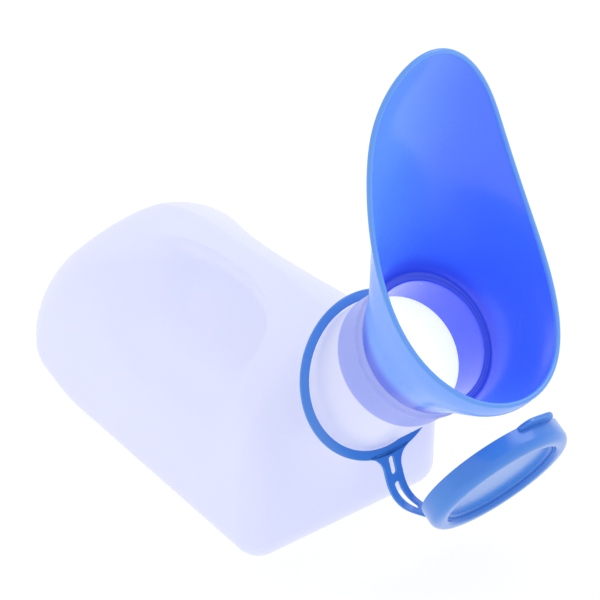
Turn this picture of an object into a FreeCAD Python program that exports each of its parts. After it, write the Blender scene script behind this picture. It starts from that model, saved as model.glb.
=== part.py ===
import FreeCAD, Part
import math
import os
import Sketcher
from FreeCAD import Placement, Rotation, Vector

# Urine bottle with a removable scoop adapter and a tethered snap cap.
# Frame: +Z up, +X from the grip end towards the neck, origin at the middle of the base, on the floor.

doc = FreeCAD.newDocument("urine_bottle")

# ---------------------------------------------------------------- driving dimensions (mm, degrees)
SIZES = {
    # body
    "body_length": 195.0, "body_width": 106.0, "body_height": 110.0, "wall": 1.75,
    "plinth_height": 10.0, "shoulder_radius": 26.0, "crown_radius": 76.0,
    "front_edge_radius": 18.0, "base_edge_radius": 9.0, "brow_cut": 26.0,
    "flank_drop": 49.0, "ridge_half": 9.0,
    # finger recess on each side of the grip ridge
    "recess_x": 14.0, "recess_drop": 14.0, "recess_half_length": 58.0,
    "recess_depth": 43.5, "recess_half_height": 29.0, "recess_edge_radius": 8.0,
    # neck
    "neck_angle": 45.0, "lip_ahead": 45.0, "lip_rise": 10.5, "neck_reach": 104.0,
    "neck_fillet": 7.0, "bead_height": 1.0, "bead_width": 2.4, "bead_setback": 4.2,
    # adapter: spigot in the neck, seat ring on the lip, scoop wall cut by a cylinder
    "spigot_bore": 25.0, "spigot_wall": 1.4, "spigot_length": 19.0, "spigot_clearance": 0.05,
    "scoop_wall": 1.6, "seat_gap": 0.3, "seat_floor": 2.0,
    "rim_radius": 150.0, "rim_offset": 15.0, "rim_low": 41.0,
    # tether ring on the neck, its root plate and the link that ends at the cap
    "ring_clearance": 3.3, "ring_band": 4.1, "tether_thick": 1.2, "ring_station": 46.5, "ring_tilt": 24.0,
    "root_length": 13.0, "root_width": 18.0, "strap_width": 9.0, "link_length": 16.9,
    "slot_width": 2.0, "root_slot": 8.0, "link_slot": 11.0, "hinge_gap": 1.0,
    "link_dip": 38.6, "link_turn": 28.1,
    # cap: an open snap cap with a dished top, a sealing plug and a thumb tab
    "cap_clearance": 2.5, "cap_height": 10.5, "cap_wall": 1.8, "dish_radius": 24.0, "dish_depth": 3.6,
    "plug_clearance": 0.25, "plug_wall": 1.6, "plug_depth": 4.5, "cap_edge_radius": 2.5,
    "tab_width": 20.0, "tab_reach": 4.5, "tab_thick": 1.8, "tab_angle": 165.0,
    "cap_dip": 29.0, "cap_join": 40.9, "cap_gap": 0.056, "cap_step": 0.815,
}
# scoop wall along the neck axis: height, centre offset, half depth, half width
SCOOP_STATIONS = {
    "low": (16.0, 3.0, 35.5, 31.2), "waist": (32.0, 7.0, 45.0, 35.0), "lap": (48.0, 14.5, 50.0, 39.0),
    "rise": (57.0, 20.5, 51.5, 43.0), "high": (67.0, 29.0, 52.0, 46.2), "tip": (86.0, 42.0, 49.0, 47.5),
}
# places and fits that follow from the sizes above
TIED = {
    "flank_foot": "body_height - flank_drop", "recess_z": "body_height - recess_drop",
    "lip_x": "body_length / 2 + lip_ahead", "lip_z": "body_height + lip_rise",
    "neck_radius": "spigot_bore + spigot_wall + spigot_clearance + wall",
    "ring_bore": "neck_radius + ring_clearance",
    "cap_radius": "neck_radius + bead_height + cap_clearance + cap_wall",
}

sheet = doc.addObject("Spreadsheet::Sheet", "sizes")
entries = dict(SIZES)
for station, values in SCOOP_STATIONS.items():
    for part, value in zip(("height", "centre", "depth", "width"), values):
        entries[f"scoop_{station}_{part}"] = value
entries.update({alias: f"={rule}" for alias, rule in TIED.items()})
for row, (alias, value) in enumerate(entries.items(), start=1):
    sheet.set(f"A{row}", alias)
    sheet.set(f"B{row}", str(value))
    sheet.setAlias(f"B{row}", alias)
doc.recompute()
S = {alias: float(sheet.get(alias)) for alias in entries}


# ---------------------------------------------------------------- helpers
def bind(obj, **rules):
    """Drive properties by expressions; a double underscore stands for a dot in the property name."""
    for prop, rule in rules.items():
        obj.setExpression(prop.replace("__", "."), rule)


def shape(kind, name, **rules):
    obj = doc.addObject(f"Part::{kind}", name)
    bind(obj, **rules)
    return obj


def join(kind, name, *members):
    """Boolean of whole objects: Cut takes base and tool, Fuse and Common take a list."""
    if kind == "Cut":
        obj = doc.addObject("Part::Cut", name)
        obj.Base, obj.Tool = members
    else:
        obj = doc.addObject(f"Part::Multi{kind}", name)
        obj.Shapes = list(members)
    return obj


def origin_plane(body, role):
    return next(f for f in body.Origin.OriginFeatures if f.Role == role)


def new_sketch(body, name, role, spin=0.0, **rules):
    sketch = body.newObject("Sketcher::SketchObject", name)
    sketch.AttachmentSupport = [(origin_plane(body, role), "")]
    sketch.MapMode = "FlatFace"
    sketch.AttachmentOffset = Placement(Vector(), Rotation(Vector(0, 0, 1), spin))
    bind(sketch, **{f"AttachmentOffset__Base__{axis}": rule for axis, rule in rules.items()})
    return sketch


def measure(sketch, name, rule, *args):
    """Add one named dimensional constraint and drive it from the sheet."""
    sketch.renameConstraint(sketch.addConstraint(Sketcher.Constraint(*args)), name)
    sketch.setExpression(f"Constraints.{name}", rule)


def polygon(sketch, points):
    """Closed polygon whose corners are each driven: points are (x, y, x rule, y rule)."""
    count = len(points)
    for i, (x, y, _, _) in enumerate(points):
        x1, y1 = points[(i + 1) % count][:2]
        sketch.addGeometry(Part.LineSegment(Vector(x, y, 0), Vector(x1, y1, 0)), False)
    for i in range(count):
        sketch.addConstraint(Sketcher.Constraint("Coincident", i, 2, (i + 1) % count, 1))
    for i, (x, y, x_rule, y_rule) in enumerate(points):
        for kind, value, rule in (("DistanceX", x, x_rule), ("DistanceY", y, y_rule)):
            if rule:
                measure(sketch, f"{kind}{i}", rule, kind, -1, 1, i, 1, value)
            else:
                axis = -2 if kind == "DistanceX" else -1
                sketch.addConstraint(Sketcher.Constraint("PointOnObject", i, 1, axis))


def arch(sketch, inset, floor, floor_rule, datum):
    """Flat floor, upright sides, shoulder arcs and a shallow crown, symmetric about local Y.

    inset is "0" or "wall"; floor and datum are heights of the flat side and of local zero.
    """
    off = S.get(inset, 0.0)
    half, corner, crown = S["body_width"] / 2 - off, S["shoulder_radius"] - off, S["crown_radius"] - off
    middle = S["body_height"] - off - crown - S.get(datum, 0.0)
    run = half - corner
    rise = middle + math.sqrt((crown - corner) ** 2 - run ** 2)
    lean = math.acos(run / (crown - corner))
    for (x0, y0), (x1, y1) in (((-half, floor), (half, floor)), ((half, floor), (half, rise)),
                               ((-half, rise), (-half, floor))):
        sketch.addGeometry(Part.LineSegment(Vector(x0, y0, 0), Vector(x1, y1, 0)), False)
    for x, y, radius, start, end in ((run, rise, corner, 0.0, lean), (0.0, middle, crown, lean, math.pi - lean),
                                     (-run, rise, corner, math.pi - lean, math.pi)):
        circle = Part.Circle(Vector(x, y, 0), Vector(0, 0, 1), radius)
        sketch.addGeometry(Part.ArcOfCircle(circle, start, end), False)
    # geometry: 0 floor, 1 right side, 2 left side, 3 right shoulder, 4 crown, 5 left shoulder
    for rule in (("Horizontal", 0), ("Vertical", 1), ("Vertical", 2), ("Coincident", 0, 2, 1, 1),
                 ("Coincident", 0, 1, 2, 2), ("Tangent", 1, 2, 3, 1), ("Tangent", 3, 2, 4, 1),
                 ("Tangent", 4, 2, 5, 1), ("Tangent", 5, 2, 2, 1), ("Equal", 3, 5),
                 ("PointOnObject", 4, 3, -2)):
        sketch.addConstraint(Sketcher.Constraint(*rule))
    thin = "sizes.wall" if inset == "wall" else "0"
    zero = f"sizes.{datum}" if datum else "0"
    measure(sketch, "half_width", f"sizes.body_width / 2 - {thin}", "DistanceX", -1, 1, 0, 2, half)
    measure(sketch, "shoulder", f"sizes.shoulder_radius - {thin}", "Radius", 3, corner)
    measure(sketch, "crown", f"sizes.crown_radius - {thin}", "Radius", 4, crown)
    measure(sketch, "crown_middle", f"sizes.body_height - sizes.crown_radius - {zero}",
            "DistanceY", -1, 1, 4, 3, middle)
    if floor_rule:
        measure(sketch, "floor", floor_rule, "DistanceY", -1, 1, 0, 1, floor)
    else:
        sketch.addConstraint(Sketcher.Constraint("PointOnObject", 0, 1, -1))


def edges_where(feature, test):
    return [f"Edge{i}" for i, edge in enumerate(feature.Shape.Edges, start=1) if test(edge)]


def fillet(body, name, feature, edges, rule):
    rounded = body.newObject("PartDesign::Fillet", name)
    rounded.Base = (feature, edges)
    bind(rounded, Radius=rule)
    doc.recompute()
    return rounded


def spots(edge):
    """End points and middle of an edge; a seam shrunk to a point has no middle and gives nothing."""
    if edge.Length < 1e-3:
        return []
    middle = edge.valueAt((edge.FirstParameter + edge.LastParameter) / 2)
    return [v.Point for v in edge.Vertexes] + [middle]


def every(edge, test):
    found = spots(edge)
    return bool(found) and all(test(p) for p in found)


def on_recess(point, off):
    """True on the wall of either finger recess."""
    reach = [(point.x - S["recess_x"]) / (S["recess_half_length"] + off),
             (abs(point.y) - S["body_width"] / 2) / (S["recess_depth"] + off),
             (point.z - S["recess_z"]) / (S["recess_half_height"] + off)]
    return abs(sum(r * r for r in reach) - 1) < 0.01


def on_neck(point, radius):
    """True on the tube of the neck."""
    along = Vector(0, 0, 1)
    along = Rotation(Vector(0, 1, 0), S["neck_angle"]).multVec(along)
    arm = point - Vector(S["lip_x"], 0, S["lip_z"])
    return abs((arm - along * arm.dot(along)).Length - radius) < 0.05


# ---------------------------------------------------------------- bottle
def bottle_form(name, inset):
    """The bottle's outside when inset is "0", and the space inside it when inset is "wall"."""
    off = S.get(inset, 0.0)
    thin = f"sizes.{inset}" if off else "0"
    # the domed rear end turns about a cross axis at plinth height, so its reach equals the dome's height
    pivot_rule = "sizes.body_height - sizes.plinth_height - sizes.body_length / 2"
    body = doc.addObject("PartDesign::Body", name)

    section = new_sketch(body, f"{name}_section", "YZ_Plane", z=pivot_rule)
    arch(section, inset, off, thin if off else "", "")
    front = body.newObject("PartDesign::Pad", f"{name}_front")
    front.Profile = section
    bind(front, Length=f"sizes.body_length / 2 - ({pivot_rule}) - {thin}")

    dome_line = new_sketch(body, f"{name}_dome_line", "YZ_Plane", z=pivot_rule, y="sizes.plinth_height")
    arch(dome_line, inset, 0.0, "", "plinth_height")
    dome = body.newObject("PartDesign::Revolution", f"{name}_dome")
    dome.Profile = dome_line
    dome.ReferenceAxis = (dome_line, ["H_Axis"])
    dome.Angle = 90.0
    dome.Reversed = True

    outline = new_sketch(body, f"{name}_outline", "XY_Plane", spin=90.0, x=pivot_rule, z=thin)
    arch(outline, inset, 0.0, "", "plinth_height")
    plinth = body.newObject("PartDesign::Pad", f"{name}_plinth")
    plinth.Profile = outline
    bind(plinth, Length=f"sizes.plinth_height - {thin}")
    doc.recompute()

    # the brow: a slope cut between the top and the front face, either side of the neck
    nose_x, top = S["body_length"] / 2 - off, S["body_height"]
    slope = S["body_length"] / 2 + top - S["brow_cut"] - off * math.sqrt(2)
    slope_rule = f"sizes.body_length / 2 + sizes.body_height - sizes.brow_cut - {thin} * sqrt(2)"
    brow_line = new_sketch(body, f"{name}_brow_line", "XZ_Plane")
    polygon(brow_line, [(slope - top - 1, top + 1, f"{slope_rule} - sizes.body_height - 1", "sizes.body_height + 1"),
                        (nose_x + 1, slope - nose_x - 1, f"sizes.body_length / 2 - {thin} + 1",
                         f"{slope_rule} - sizes.body_length / 2 + {thin} - 1"),
                        (nose_x + 1, top + 1, f"sizes.body_length / 2 - {thin} + 1", "sizes.body_height + 1")])
    brow = body.newObject("PartDesign::Pocket", f"{name}_brow")
    brow.Profile = brow_line
    brow.Midplane = True
    bind(brow, Length="2 * sizes.body_width")
    doc.recompute()
    # the flanks: a slope on each side between the side wall and the ridge along the top
    half = S["body_width"] / 2
    lean = math.atan2(top - S["flank_foot"], half - S["ridge_half"])
    lean_rule = "atan((sizes.body_height - sizes.flank_foot) / (sizes.body_width / 2 - sizes.ridge_half))"
    drop, drop_rule = off / math.cos(lean), f"{thin} / cos({lean_rule})"
    flank_line = new_sketch(body, f"{name}_flank_line", "YZ_Plane")
    run, run_rule = (top - S["flank_foot"]) / (half - S["ridge_half"]), f"tan({lean_rule})"
    polygon(flank_line, [(half + 1, S["flank_foot"] - run - drop, "sizes.body_width / 2 + 1",
                          f"sizes.flank_foot - {run_rule} - {drop_rule}"),
                         (half + 1, top + 1, "sizes.body_width / 2 + 1", "sizes.body_height + 1"),
                         (S["ridge_half"] - (1 + drop) / run, top + 1,
                          f"sizes.ridge_half - (1 + {drop_rule}) / {run_rule}", "sizes.body_height + 1")])
    flank = body.newObject("PartDesign::Pocket", f"{name}_flank")
    flank.Profile = flank_line
    flank.Midplane = True
    bind(flank, Length="2 * sizes.body_length")
    body.Tip = flank
    mirrored = body.newObject("PartDesign::Mirrored", f"{name}_far_flank")
    mirrored.Originals = [flank]
    mirrored.MirrorPlane = (origin_plane(body, "XZ_Plane"), [""])
    body.Tip = mirrored
    doc.recompute()
    level = top - off / math.cos(lean) + run * S["ridge_half"]

    def upper(edge):
        """Edges of the flanks, the brow and the front face, apart from the one along the foot."""
        return (every(edge, lambda p: abs(p.z + run * abs(p.y) - level) < 0.02)
                or every(edge, lambda p: abs(p.x + p.z - slope) < 0.01)
                or (every(edge, lambda p: abs(p.x - nose_x) < 0.01)
                    and not every(edge, lambda p: abs(p.z - off) < 0.01)))

    nose = fillet(body, f"{name}_nose", mirrored, edges_where(mirrored, upper),
                  f"sizes.front_edge_radius - {thin}")
    around = edges_where(nose, lambda e: every(e, lambda p: abs(p.z - off) < 0.01))
    fillet(body, f"{name}_foot", nose, around, f"sizes.base_edge_radius - {thin}")

    for side, sign in (("near", "-"), ("far", "")):
        recess = body.newObject("PartDesign::SubtractiveEllipsoid", f"{name}_{side}_recess")
        recess.AttachmentSupport = [(origin_plane(body, "XY_Plane"), "")]
        recess.MapMode = "FlatFace"
        bind(recess, Radius1=f"sizes.recess_half_height + {thin}", Radius2=f"sizes.recess_half_length + {thin}",
             Radius3=f"sizes.recess_depth + {thin}", AttachmentOffset__Base__x="sizes.recess_x",
             AttachmentOffset__Base__y=f"{sign}sizes.body_width / 2", AttachmentOffset__Base__z="sizes.recess_z")
    doc.recompute()
    rims = edges_where(recess, lambda e: every(e, lambda p: on_recess(p, off)))
    fillet(body, f"{name}_recess_rims", recess, rims, f"sizes.recess_edge_radius - {thin}")

    # neck: a plain tube line, with a snap bead near the lip on the outside form
    tube_line = new_sketch(body, f"{name}_neck_line", "XZ_Plane", x="sizes.lip_x", y="sizes.lip_z")
    bind(tube_line, AttachmentOffset__Rotation__Angle="0 - sizes.neck_angle")
    reach = S["neck_reach"]
    if off:
        bore = S["spigot_bore"] + S["spigot_wall"] + S["spigot_clearance"]
        bore_rule = "sizes.spigot_bore + sizes.spigot_wall + sizes.spigot_clearance"
        line = [(0, -reach, "", "-sizes.neck_reach"), (bore, -reach, bore_rule, "-sizes.neck_reach"),
                (bore, 1, bore_rule, "1"), (0, 1, "", "1")]
    else:
        r, setback, bead, wide = S["neck_radius"], S["bead_setback"], S["bead_height"], S["bead_width"]
        ring = "sizes.neck_radius"
        crest = "sizes.neck_radius + sizes.bead_height"
        line = [(0, -reach, "", "-sizes.neck_reach"), (r, -reach, ring, "-sizes.neck_reach"),
                (r, -setback - wide, ring, "-sizes.bead_setback - sizes.bead_width"),
                (r + bead, -setback - wide / 2, crest, "-sizes.bead_setback - sizes.bead_width / 2"),
                (r, -setback, ring, "-sizes.bead_setback"), (r, 0, ring, ""), (0, 0, "", "")]
    polygon(tube_line, line)
    doc.recompute()
    neck = body.newObject("PartDesign::Revolution", f"{name}_neck")
    neck.Profile = tube_line
    neck.ReferenceAxis = (tube_line, ["V_Axis"])
    neck.Angle = 360.0
    doc.recompute()
    if not off:
        root = edges_where(neck, lambda e: every(e, lambda p: on_neck(p, S["neck_radius"]))
                           and e.Curve.TypeId in ("Part::GeomBSplineCurve", "Part::GeomEllipse"))
        fillet(body, f"{name}_neck_root", neck, root, "sizes.neck_fillet")
    return body


bottle = join("Cut", "bottle", bottle_form("bottle_outside", "0"), bottle_form("bottle_inside", "wall"))


# ---------------------------------------------------------------- adapter, built standing on the lip
def along_neck(obj, station):
    """Put an object's local Z along the neck axis, its origin the given distance past the lip."""
    bind(obj, Placement__Base__x=f"sizes.lip_x + ({station}) * cos(sizes.neck_angle)",
         Placement__Base__z=f"sizes.lip_z + ({station}) * sin(sizes.neck_angle)")
    tilt(obj, "90 - sizes.neck_angle")


def tilt(obj, rule, turn=None):
    """Lean an object about the cross axis; turn spins it first about its own Z."""
    lean = Rotation(Vector(0, 1, 0), 1.0)
    obj.Placement = Placement(obj.Placement.Base, lean)
    bind(obj, Placement__Rotation__Angle=rule)


def cylinder(name, radius, height, base="0"):
    obj = shape("Cylinder", name, Radius=radius, Height=height, Placement__Base__z=base)
    return obj


def scoop_form(name, thin, base):
    """Loft of ellipses up the scoop; thin is the inward offset and base the height of the first one."""
    rings = [("foot", base, "0", "sizes.neck_radius", "sizes.neck_radius")]
    rings += [(s, *(f"sizes.scoop_{s}_{part}" for part in ("height", "centre", "depth", "width")))
              for s in SCOOP_STATIONS]
    sections = []
    for station, height, centre, depth, width in rings:
        ring = shape("Ellipse", f"{name}_{station}", MajorRadius=f"{depth} - {thin}",
                     MinorRadius=f"{width} - {thin}", Placement__Base__x=f"0 - {centre}",
                     Placement__Base__z=height)
        sections.append(ring)
    loft = doc.addObject("Part::Loft", name)
    loft.Sections = sections
    loft.Solid = True
    return loft


wall = scoop_form("scoop_outside", "0", "sizes.seat_gap")
hollow = scoop_form("scoop_inside", "sizes.scoop_wall", "sizes.seat_gap + sizes.seat_floor")
opening = shape("Cylinder", "scoop_opening", Radius="sizes.rim_radius", Height="2 * sizes.body_width",
                Placement__Base__x="sizes.rim_offset", Placement__Base__y="sizes.body_width",
                Placement__Base__z="sizes.rim_low + sizes.rim_radius")
opening.Placement = Placement(opening.Placement.Base, Rotation(Vector(1, 0, 0), 90))
spigot = cylinder("spigot", "sizes.spigot_bore + sizes.spigot_wall",
                  "sizes.spigot_length + sizes.seat_gap + sizes.seat_floor / 2", "0 - sizes.spigot_length")
bore = cylinder("spigot_hole", "sizes.spigot_bore", "2 * sizes.spigot_length + sizes.seat_floor",
                "-1.5 * sizes.spigot_length")
adapter = join("Cut", "adapter",
               join("Fuse", "adapter_solid", join("Cut", "scoop_wall_part", wall, join("Fuse", "scoop_space",
                                                                                    hollow, opening)), spigot),
               bore)
along_neck(adapter, "0")


# ---------------------------------------------------------------- tether: ring and root plate, then the link
def box(name, length, width, height, x, z="0"):
    """Block centred on local Y, starting at the given local X and Z."""
    return shape("Box", name, Length=length, Width=width, Height=height, Placement__Base__x=x,
                 Placement__Base__y=f"0 - ({width}) / 2", Placement__Base__z=z)


def slot(name, length, x):
    """Round-ended slot through the tether's thickness, along local X."""
    half = "sizes.slot_width / 2"
    ends = []
    for end, at in (("near", f"{x} + {half}"), ("far", f"{x} + {length} - {half}")):
        pin = cylinder(f"{name}_{end}", half, "3 * sizes.tether_thick", "0 - sizes.tether_thick")
        bind(pin, Placement__Base__x=at)
        ends.append(pin)
    body = box(f"{name}_body", f"{length} - sizes.slot_width", "sizes.slot_width", "3 * sizes.tether_thick",
               f"{x} + {half}", "0 - sizes.tether_thick")
    return join("Fuse", name, body, *ends)


RING_OUT = "(sizes.ring_bore + sizes.ring_band)"
RING_DIP = "(90 - sizes.neck_angle + sizes.ring_tilt)"
band = cylinder("ring_disc", RING_OUT, "sizes.tether_thick", "0 - sizes.tether_thick / 2")
flare = shape("Wedge", "root_flare", Xmin="0 - sizes.root_width / 2", Xmax="sizes.root_width / 2",
              Ymin="0", Ymax="sizes.ring_band + sizes.root_length / 2", Zmin="0 - sizes.tether_thick / 2",
              Zmax="sizes.tether_thick / 2", X2min="0 - sizes.strap_width / 2", X2max="sizes.strap_width / 2",
              Z2min="0 - sizes.tether_thick / 2", Z2max="sizes.tether_thick / 2",
              Placement__Base__x="sizes.ring_bore")
flare.Placement = Placement(flare.Placement.Base, Rotation(Vector(0, 0, 1), -90))
root = box("root_plate", "sizes.ring_band + sizes.root_length", "sizes.strap_width", "sizes.tether_thick",
           "sizes.ring_bore", "0 - sizes.tether_thick / 2")
hole = cylinder("ring_hole", "sizes.ring_bore", "3 * sizes.tether_thick", "-1.5 * sizes.tether_thick")
root_slot = slot("root_slot", "sizes.root_slot", "sizes.ring_bore + sizes.ring_band")
tether_ring = join("Cut", "tether_ring", join("Fuse", "ring_solid", band, flare, root),
                   join("Fuse", "ring_openings", hole, root_slot))
tilt(tether_ring, RING_DIP)
RING_X = "sizes.lip_x - sizes.ring_station * cos(sizes.neck_angle)"
RING_Z = "sizes.lip_z - sizes.ring_station * sin(sizes.neck_angle)"
bind(tether_ring, Placement__Base__x=RING_X, Placement__Base__z=RING_Z)

# the link carries on from the root plate's end, across the first living hinge
link_plate = box("link_plate", "sizes.link_length - sizes.strap_width / 2", "sizes.strap_width",
                 "sizes.tether_thick", "sizes.hinge_gap + sizes.strap_width / 2", "0 - sizes.tether_thick / 2")
link_end = cylinder("link_end", "sizes.strap_width / 2", "sizes.tether_thick", "0 - sizes.tether_thick / 2")
bind(link_end, Placement__Base__x="sizes.hinge_gap + sizes.strap_width / 2")
link_slot = slot("link_slot", "sizes.link_slot", "sizes.hinge_gap + 3 * sizes.slot_width / 2")
tether_link = join("Cut", "tether_link", join("Fuse", "link_solid", link_plate, link_end), link_slot)
ROOT_REACH = f"({RING_OUT} + sizes.root_length)"
spin = Rotation(Vector(0, 1, 0), 90 - S["link_dip"]) * Rotation(Vector(0, 0, 1), S["link_turn"])
tether_link.Placement = Placement(Vector(), spin)
LINK_X = f"{RING_X} + {ROOT_REACH} * cos({RING_DIP})"
LINK_Z = f"{RING_Z} - {ROOT_REACH} * sin({RING_DIP})"
bind(tether_link, Placement__Base__x=LINK_X, Placement__Base__z=LINK_Z)

# ---------------------------------------------------------------- cap, built open side down
cap_body = doc.addObject("PartDesign::Body", "cap_body")
cap_line = new_sketch(cap_body, "cap_line", "XZ_Plane")
R, H, W = S["cap_radius"], S["cap_height"], S["cap_wall"]
D, P = S["dish_radius"], S["spigot_bore"] + S["spigot_wall"] - S["plug_clearance"]
PLUG = "(sizes.spigot_bore + sizes.spigot_wall - sizes.plug_clearance)"
ROOF = "sizes.cap_height - sizes.cap_wall"
FLOOR = "sizes.cap_height - sizes.dish_depth"
polygon(cap_line, [
    (0, H - S["dish_depth"] - W, "", f"{FLOOR} - sizes.cap_wall"),
    (P - S["plug_wall"], H - S["dish_depth"] - W, f"{PLUG} - sizes.plug_wall", f"{FLOOR} - sizes.cap_wall"),
    (P - S["plug_wall"], H - W - S["plug_depth"], f"{PLUG} - sizes.plug_wall", f"{ROOF} - sizes.plug_depth"),
    (P, H - W - S["plug_depth"], PLUG, f"{ROOF} - sizes.plug_depth"),
    (P, H - W, PLUG, ROOF),
    (R - W, H - W, "sizes.cap_radius - sizes.cap_wall", ROOF),
    (R - W, 0, "sizes.cap_radius - sizes.cap_wall", ""),
    (R, 0, "sizes.cap_radius", ""),
    (R, H, "sizes.cap_radius", "sizes.cap_height"),
    (D, H, "sizes.dish_radius", "sizes.cap_height"),
    (D, H - S["dish_depth"], "sizes.dish_radius", FLOOR),
    (0, H - S["dish_depth"], "", FLOOR),
])
doc.recompute()
cap_turned = cap_body.newObject("PartDesign::Revolution", "cap_turned")
cap_turned.Profile = cap_line
cap_turned.ReferenceAxis = (cap_line, ["V_Axis"])
cap_turned.Angle = 360.0
doc.recompute()
shoulder = edges_where(cap_turned, lambda e: every(e, lambda p: abs(p.z - H) < 0.01
                                                   and abs(math.hypot(p.x, p.y) - R) < 0.01))
fillet(cap_body, "cap_shoulder", cap_turned, shoulder, "sizes.cap_edge_radius")
tab = box("cap_tab", "sizes.cap_wall + sizes.tab_reach", "sizes.tab_width", "sizes.tab_thick",
          "sizes.cap_radius - sizes.cap_wall / 2")
tab.Placement = Placement(Vector(), Rotation(Vector(0, 0, 1), S["tab_angle"]))
LEAD = "(sizes.cap_radius - sizes.cap_wall / 2)"
bind(tab, Placement__Base__x=f"{LEAD} * cos(sizes.tab_angle) + sizes.tab_width / 2 * sin(sizes.tab_angle)",
     Placement__Base__y=f"{LEAD} * sin(sizes.tab_angle) - sizes.tab_width / 2 * cos(sizes.tab_angle)")
cap = join("Fuse", "cap", cap_body, tab)
tilt(cap, "90 + sizes.cap_dip")
# the link's far end meets the cap's open edge cap_join round from its lowest point
LINK_END = "(sizes.hinge_gap + sizes.link_length)"
ARM = "(sizes.cap_radius + sizes.cap_gap)"
bind(cap, Placement__Base__x=(f"{LINK_X} + {LINK_END} * sin(sizes.link_dip) * cos(sizes.link_turn)"
                              f" + {ARM} * cos(sizes.cap_join) * sin(sizes.cap_dip)"
                              " + sizes.cap_step * cos(sizes.cap_dip)"),
     Placement__Base__y=f"{LINK_END} * sin(sizes.link_turn) + {ARM} * sin(sizes.cap_join)",
     Placement__Base__z=(f"{LINK_Z} - {LINK_END} * cos(sizes.link_dip) * cos(sizes.link_turn)"
                         f" + {ARM} * cos(sizes.cap_join) * cos(sizes.cap_dip)"
                         " - sizes.cap_step * sin(sizes.cap_dip)"))
doc.recompute()

# ---------------------------------------------------------------- checks and export
for obj in doc.Objects:
    bad = {"Invalid", "Error"} & set(obj.State)
    if bad:
        raise RuntimeError(f"{obj.Name}: {bad}")
os.makedirs("parts", exist_ok=True)
for node in (bottle, adapter, tether_ring, tether_link, cap):
    if node.Shape.isNull() or not node.Shape.isValid() or len(node.Shape.Solids) != 1:
        raise RuntimeError(f"{node.Label}: {len(node.Shape.Solids)} solids")
    node.Shape.exportStep(f"parts/{node.Label}.step")
    print(node.Label, round(node.Shape.Volume / 1000, 2), "cm3", node.Shape.BoundBox)
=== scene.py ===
"""Looks of the urine bottle: translucent body, blue scoop adapter, and a snap cap on a ring strap.

Sizes are in millimetres inside the classes and become metres when a mesh is made. The frame is +Z up,
+X towards the neck, origin in the middle of the body's footprint.
"""

import logging
import math
from dataclasses import dataclass, field
from enum import Enum
from typing import Callable, Sequence

import bmesh
import bpy
import numpy as np
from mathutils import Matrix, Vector


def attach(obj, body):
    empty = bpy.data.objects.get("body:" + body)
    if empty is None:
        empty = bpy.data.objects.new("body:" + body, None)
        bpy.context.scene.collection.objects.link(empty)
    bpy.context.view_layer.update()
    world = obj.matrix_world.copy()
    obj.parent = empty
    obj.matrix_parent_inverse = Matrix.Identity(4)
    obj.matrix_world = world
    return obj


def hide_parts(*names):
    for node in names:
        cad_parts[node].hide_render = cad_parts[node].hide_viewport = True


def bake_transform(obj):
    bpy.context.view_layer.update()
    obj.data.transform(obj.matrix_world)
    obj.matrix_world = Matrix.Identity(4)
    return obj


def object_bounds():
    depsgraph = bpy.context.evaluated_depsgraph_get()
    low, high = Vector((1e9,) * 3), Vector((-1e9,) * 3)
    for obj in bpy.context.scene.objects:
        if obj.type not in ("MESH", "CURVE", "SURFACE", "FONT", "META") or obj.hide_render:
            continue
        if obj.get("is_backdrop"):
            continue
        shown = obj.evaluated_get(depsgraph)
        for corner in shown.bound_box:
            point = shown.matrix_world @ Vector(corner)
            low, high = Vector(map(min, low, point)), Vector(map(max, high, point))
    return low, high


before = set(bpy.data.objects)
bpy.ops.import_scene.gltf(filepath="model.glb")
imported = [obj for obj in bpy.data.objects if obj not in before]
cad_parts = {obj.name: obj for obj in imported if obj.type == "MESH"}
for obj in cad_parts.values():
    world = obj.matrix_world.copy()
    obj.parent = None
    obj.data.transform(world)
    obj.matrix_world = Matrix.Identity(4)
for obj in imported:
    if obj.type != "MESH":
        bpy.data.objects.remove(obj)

LOG = logging.getLogger("bottle")
MM = 0.001
UP_THE_NECK = np.array([math.sqrt(0.5), 0.0, math.sqrt(0.5)])
BACK_OFF_NECK = np.array([-math.sqrt(0.5), 0.0, math.sqrt(0.5)])
ACROSS = np.array([0.0, 1.0, 0.0])
LIP = np.array([142.5, 0.0, 120.5])


class Slot(Enum):
    """Material slots of the record."""

    BODY = "body_translucent"
    ADAPTER = "adapter_blue"
    TETHER = "tether_blue"


class Body(Enum):
    """Moving bodies of the frame."""

    BOTTLE = "bottle"
    ADAPTER = "adapter"
    RING = "tether_ring"
    LINK = "tether_link"
    CAP = "cap"


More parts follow.
